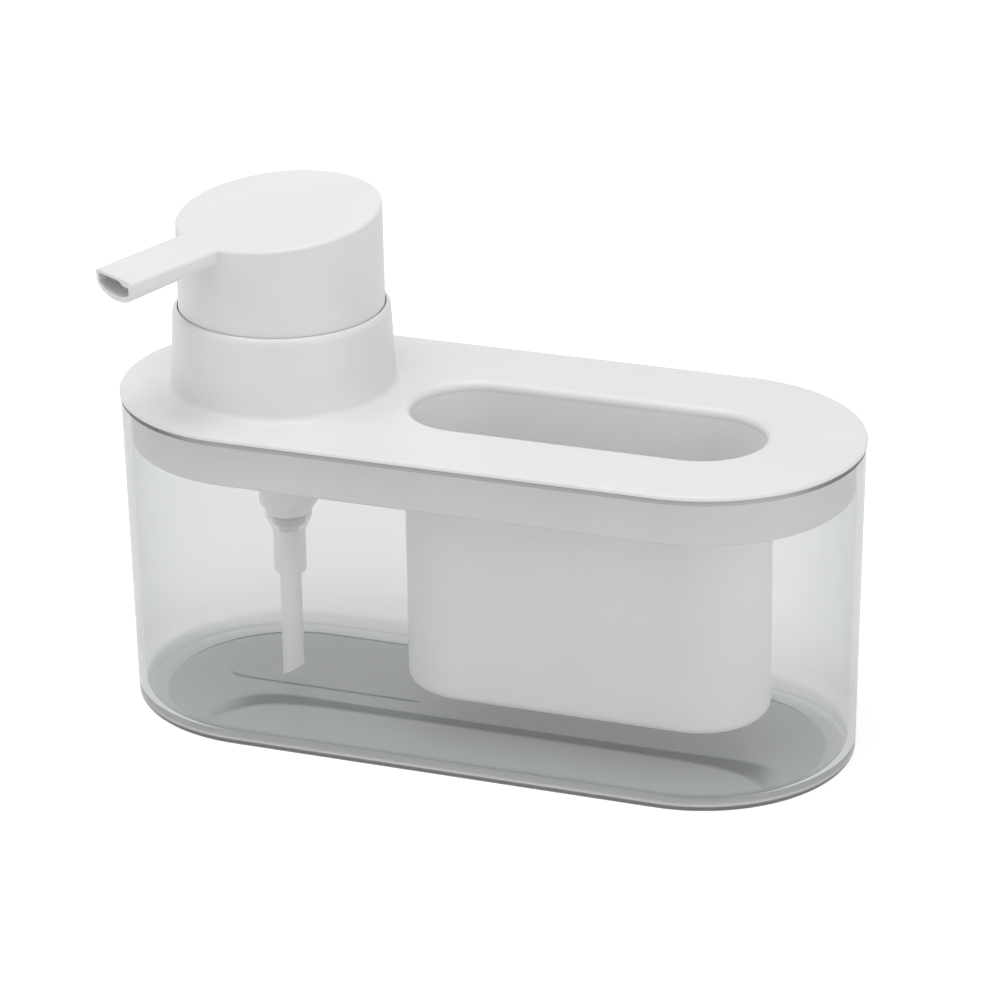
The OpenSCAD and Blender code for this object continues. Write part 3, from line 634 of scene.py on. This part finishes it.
def buildHead():
    piece = drumShell()
    bm = bmesh.new()
    end = head["reach"]
    skinRings(bm, [spoutRing(0), spoutRing(head["rootX"]), spoutRing(end - head["mouthRound"]),
                   spoutRing(end - head["mouthRound"] * 0.3, head["mouthRound"] * 0.3),
                   spoutRing(end, head["mouthRound"])])
    carve(piece, toObject(bm, "spout"), "UNION")
    bm = bmesh.new()
    skinRings(bm, [spoutRing(2, inside=True), spoutRing(head["rootX"], inside=True),
                   spoutRing(end + 1, inside=True)])
    carve(piece, toObject(bm, "passage"), "DIFFERENCE")
    bm = bmesh.new()
    bm.from_mesh(piece.data)
    ledgeOut = (head["mouthW"] - head["sideT"]) / 2
    ledge = [(head["ledgeIn"] - head["ledgeSlant"], -head["roofT"] / 2),
             (head["ledgeIn"], -head["ledgeDrop"]),
             (ledgeOut, -head["ledgeDrop"]), (ledgeOut, -head["roofT"] / 2)]
    ledgeEnd = end - head["ledgeInset"]
    skinRings(bm, [[headPlace(x, y, z) for y, z in ledge] for x in (ledgeEnd - head["ledgeL"], ledgeEnd)])
    boss = [(head["bossR"], head["topZ"] - 2), (head["bossR"], head["bossZ"]),
            (head["bossBore"], head["bossZ"]), (head["bossBore"], head["hubTop"])]
    addRings(bm, boss, 0, pumpX, steps=head["bossSteps"])
    for i in range(1, head["ribs"]):
        turn = math.radians(head["turn"]) + 2 * math.pi * i / head["ribs"]
        inner, outer = head["bossR"] - 0.5, head["topR"] - head["wall"] / 2
        ends = [(pumpX + r * math.cos(turn), r * math.sin(turn)) for r in (inner, outer)]
        low = max(topDrop(x - pumpX, y) for x, y in ends)
        addBar(bm, ends[0], ends[1], head["ribT"], head["ribZ"], head["topZ"] - 2 - low)
    bmesh.ops.recalc_face_normals(bm, faces=bm.faces)
    bm.to_mesh(piece.data)
    bm.free()
    dress(piece, "head", ["head_shell"], satinWhite)


# Pump barrel: a wide cylinder that steps down over a shoulder and a taper to its tail
barrel = {
    "flangeR": 13.4, "flangeZ": 105.2, "topZ": 106.7, "outerR": 8.55, "innerR": 7.4, "lowZ": 59.5,
    "shoulderR": 6.8, "shoulderIn": 5.65, "shoulderZ": 57, "taperZ": 55, "tailR": 4.8, "tailZ": 50.5,
    "tailEnd": 37, "tailRound": 1.2, "cageR": 4.7, "cageTop": 53.75, "cageZ": 52.5,
    "chamberR": 3.05, "seatTop": 46.55, "seatZ": 45.2, "portR": 1.7, "septumZ": 43.7, "socketR": 3.25,
    "steps": 40,
}


def buildBarrel():
    b = barrel
    tailIn, tailLow = b["tailR"] - b["tailRound"], b["tailEnd"] + b["tailRound"]
    profile = [(b["innerR"], b["topZ"]), (b["innerR"], b["lowZ"]), (b["shoulderIn"], b["shoulderZ"])]
    profile += [(b["shoulderIn"], b["taperZ"]), (b["cageR"], b["cageTop"]), (b["cageR"], b["cageZ"])]
    profile += [(b["chamberR"], b["cageZ"]), (b["chamberR"], b["seatTop"]), (b["portR"], b["seatZ"])]
    profile += [(b["portR"], b["septumZ"]), (b["socketR"], b["septumZ"]), (b["socketR"], b["tailEnd"])]
    profile += arcPoints((tailIn, tailLow), b["tailRound"], -90, 0, 6)
    profile += [(b["tailR"], b["tailZ"]), (b["shoulderR"], b["taperZ"]), (b["shoulderR"], b["shoulderZ"])]
    profile += [(b["outerR"], b["lowZ"]), (b["outerR"], b["flangeZ"])]
    profile += [(b["flangeR"], b["flangeZ"]), (b["flangeR"], b["topZ"])]
    bm = bmesh.new()
    addRings(bm, profile, 0, pumpX, steps=b["steps"], loop=True)
    dress(toObject(bm, "pumpBarrel"), "lid", ["pump_housing"], milkyBarrel, 24)


# Dip tube: open pipe pushed into the barrel's tail, with a slanted end over the floor
tube = {"outerR": 3.2, "innerR": 2.4, "topZ": 43.7, "endZ": 3.6, "slant": 30, "steps": 20}


def buildDipTube():
    rise = math.tan(math.radians(tube["slant"]))
    bm = bmesh.new()
    made = []
    for radius in (tube["outerR"], tube["innerR"]):
        flat = outline(radius, steps=tube["steps"])
        for top in (0, 1):
            made.append([bm.verts.new(Vector((
                pumpX + x, y, tube["topZ"] if top else tube["endZ"] + (x + tube["outerR"]) * rise)) * mm)
                for x, y in flat])
    for lower, upper in ((made[0], made[1]), (made[1], made[3]), (made[3], made[2]), (made[2], made[0])):
        for i in range(len(lower)):
            j = (i + 1) % len(lower)
            bm.faces.new((lower[i], lower[j], upper[j], upper[i]))
    dress(toObject(bm, "dipTube"), "lid", ["dip_tube"], milkyTube)


# Return spring: round wire, with one close curl at each end
spring = {
    "wireR": 0.45, "coilR": 4, "curls": 10, "endPitch": 1.65, "lowZ": 54.2, "highZ": 85.7,
    "curlSteps": 24, "wireSteps": 10, "pressed": 0.5686,
}


def buildSpring():
    s = spring
    length = s["highZ"] - s["lowZ"]
    endPitch = s["endPitch"] * 2 * s["wireR"]
    midPitch = (length - 2 * endPitch) / (s["curls"] - 2)
    rings = []
    for i in range(s["curls"] * s["curlSteps"] + 1):
        t = i / s["curlSteps"]
        rise = endPitch * t if t < 1 else endPitch + midPitch * (t - 1)
        if t > s["curls"] - 1:
            rise = length - endPitch * (s["curls"] - t)
        turn = 2 * math.pi * t
        ring = []
        for k in range(s["wireSteps"]):
            a = 2 * math.pi * k / s["wireSteps"]
            r = s["coilR"] + s["wireR"] * math.cos(a)
            ring.append(Vector((pumpX + r * math.cos(turn), r * math.sin(turn),
                                s["lowZ"] + rise + s["wireR"] * math.sin(a))))
        rings.append(ring)
    bm = bmesh.new()
    skinRings(bm, rings)
    piece = toObject(bm, "returnSpring")
    dress(piece, "lid", ["return_spring"], drawnWire, 60)
    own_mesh(piece)


buildTub()
print("tub made")
buildLid()
buildWell()
print("lid and well made")
buildHead()
print("head made")
buildBarrel()
buildDipTube()
buildSpring()
print("pump works made")

# Finishes for the CAD nodes that stay
finishes = {
    "lock_ring": whiteWorks, "stem_guide": whiteWorks, "spring_follower": whiteWorks,
    "stem": whiteWorks, "stem_hub": whiteWorks, "housing_gasket": foamGasket,
    "piston": softPiston, "valve_cage": greyCage, "inlet_ball": groundBall, "outlet_ball": groundBall,
}
for nodeName, material in finishes.items():
    mesh = cadNodes[nodeName].data
    mesh.materials.clear()
    mesh.materials.append(material)
print("CAD nodes finished")

# Pale floor, bright surroundings and three soft lamps
stage = {
    "floor": "#EFEFEF", "floorHalf": 6, "floorGlow": 0.4, "sky": 0.47, "skySeen": 1.0,
    "lamps": [
        ("overhead softbox", (-0.03, -0.15, 1.22), (0, 0, 0.05), 0.9, 6.5),
        ("right softbox", (1.5, -0.7, 0.45), (0, 0, 0.06), 0.9, 4.6),
        ("left softbox", (-1.25, -0.65, 0.6), (0, 0, 0.06), 0.9, 2.4),
    ],
}


def seenOrMirrored(tree):
    # one where the camera, a mirror image or clear plastic shows the surroundings
    path = addNode(tree, "LightPath")
    seen = addNode(tree, "Math", {
        0: path.outputs["Is Camera Ray"], 1: path.outputs["Is Transmission Ray"]}, operation="MAXIMUM")
    return addNode(tree, "Math", {
        0: seen.outputs[0], 1: path.outputs["Is Glossy Ray"]}, operation="MAXIMUM").outputs[0]


def buildStage():
    bm = bmesh.new()
    bmesh.ops.create_grid(bm, x_segments=1, y_segments=1, size=stage["floorHalf"])
    mesh = bpy.data.meshes.new("floor")
    bm.to_mesh(mesh)
    bm.free()
    floor = bpy.data.objects.new("floor", mesh)
    bpy.context.scene.collection.objects.link(floor)
    material, tree, shader, place = newMaterial("pale matt board")
    shader.inputs["Roughness"].default_value = 0.6
    shader.inputs["Specular IOR Level"].default_value = 0.3
    shader.inputs["Base Color"].default_value = fromHex(stage["floor"])
    glow = addNode(tree, "Emission", {"Color": (1, 1, 1, 1)})
    amount = addNode(tree, "Math", {0: seenOrMirrored(tree), 1: stage["floorGlow"]}, operation="MULTIPLY")
    tree.links.new(amount.outputs[0], glow.inputs["Strength"])
    both = addNode(tree, "AddShader", {0: shader.outputs["BSDF"], 1: glow.outputs["Emission"]})
    tree.links.new(both.outputs["Shader"], tree.nodes["Material Output"].inputs["Surface"])
    mesh.materials.append(material)


def buildSky():
    world = bpy.data.worlds.new("bright room")
    bpy.context.scene.world = world
    world.use_nodes = True
    tree = world.node_tree
    light = tree.nodes["Background"]
    light.inputs["Color"].default_value = (1, 1, 1, 1)
    strength = addNode(tree, "MapRange", {
        "Value": seenOrMirrored(tree), "To Min": stage["sky"], "To Max": stage["skySeen"]})
    tree.links.new(strength.outputs["Result"], light.inputs["Strength"])


def buildLamps():
    for name, place, target, size, watts in stage["lamps"]:
        lamp = bpy.data.lights.new(name, "AREA")
        lamp.shape = "DISK"
        lamp.size = size
        lamp.energy = watts
        holder = bpy.data.objects.new(name, lamp)
        bpy.context.scene.collection.objects.link(holder)
        holder.location = place
        aim = Vector(target) - Vector(place)
        holder.rotation_euler = aim.to_track_quat("-Z", "Y").to_euler()


# Camera at the photograph's angle: turned right of the tub's front, looking down
view = {
    "azimuth": 0.3533, "elevation": 0.4015, "roll": -0.0133,
    "place": (0.4031, -1.0839, 0.5587), "lens": 157.7, "sensor": 36,
}


def buildCamera():
    az, el, roll = view["azimuth"], view["elevation"], view["roll"]
    right = Vector((math.cos(az), math.sin(az), 0))
    back = Vector((math.sin(az) * math.cos(el), -math.cos(az) * math.cos(el), math.sin(el)))
    up = back.cross(right)
    rightRolled = math.cos(roll) * right + math.sin(roll) * up
    upRolled = math.cos(roll) * up - math.sin(roll) * right
    turn = Matrix((rightRolled, upRolled, back)).transposed().to_4x4()
    camera = bpy.data.cameras.new("camera")
    camera.lens = view["lens"]
    camera.sensor_width = view["sensor"]
    holder = bpy.data.objects.new("camera", camera)
    bpy.context.scene.collection.objects.link(holder)
    holder.matrix_world = Matrix.Translation(view["place"]) @ turn
    bpy.context.scene.camera = holder


buildStage()
buildSky()
buildLamps()
buildCamera()
bpy.context.scene.view_settings.view_transform = "Standard"
print("stage, lamps and camera made")
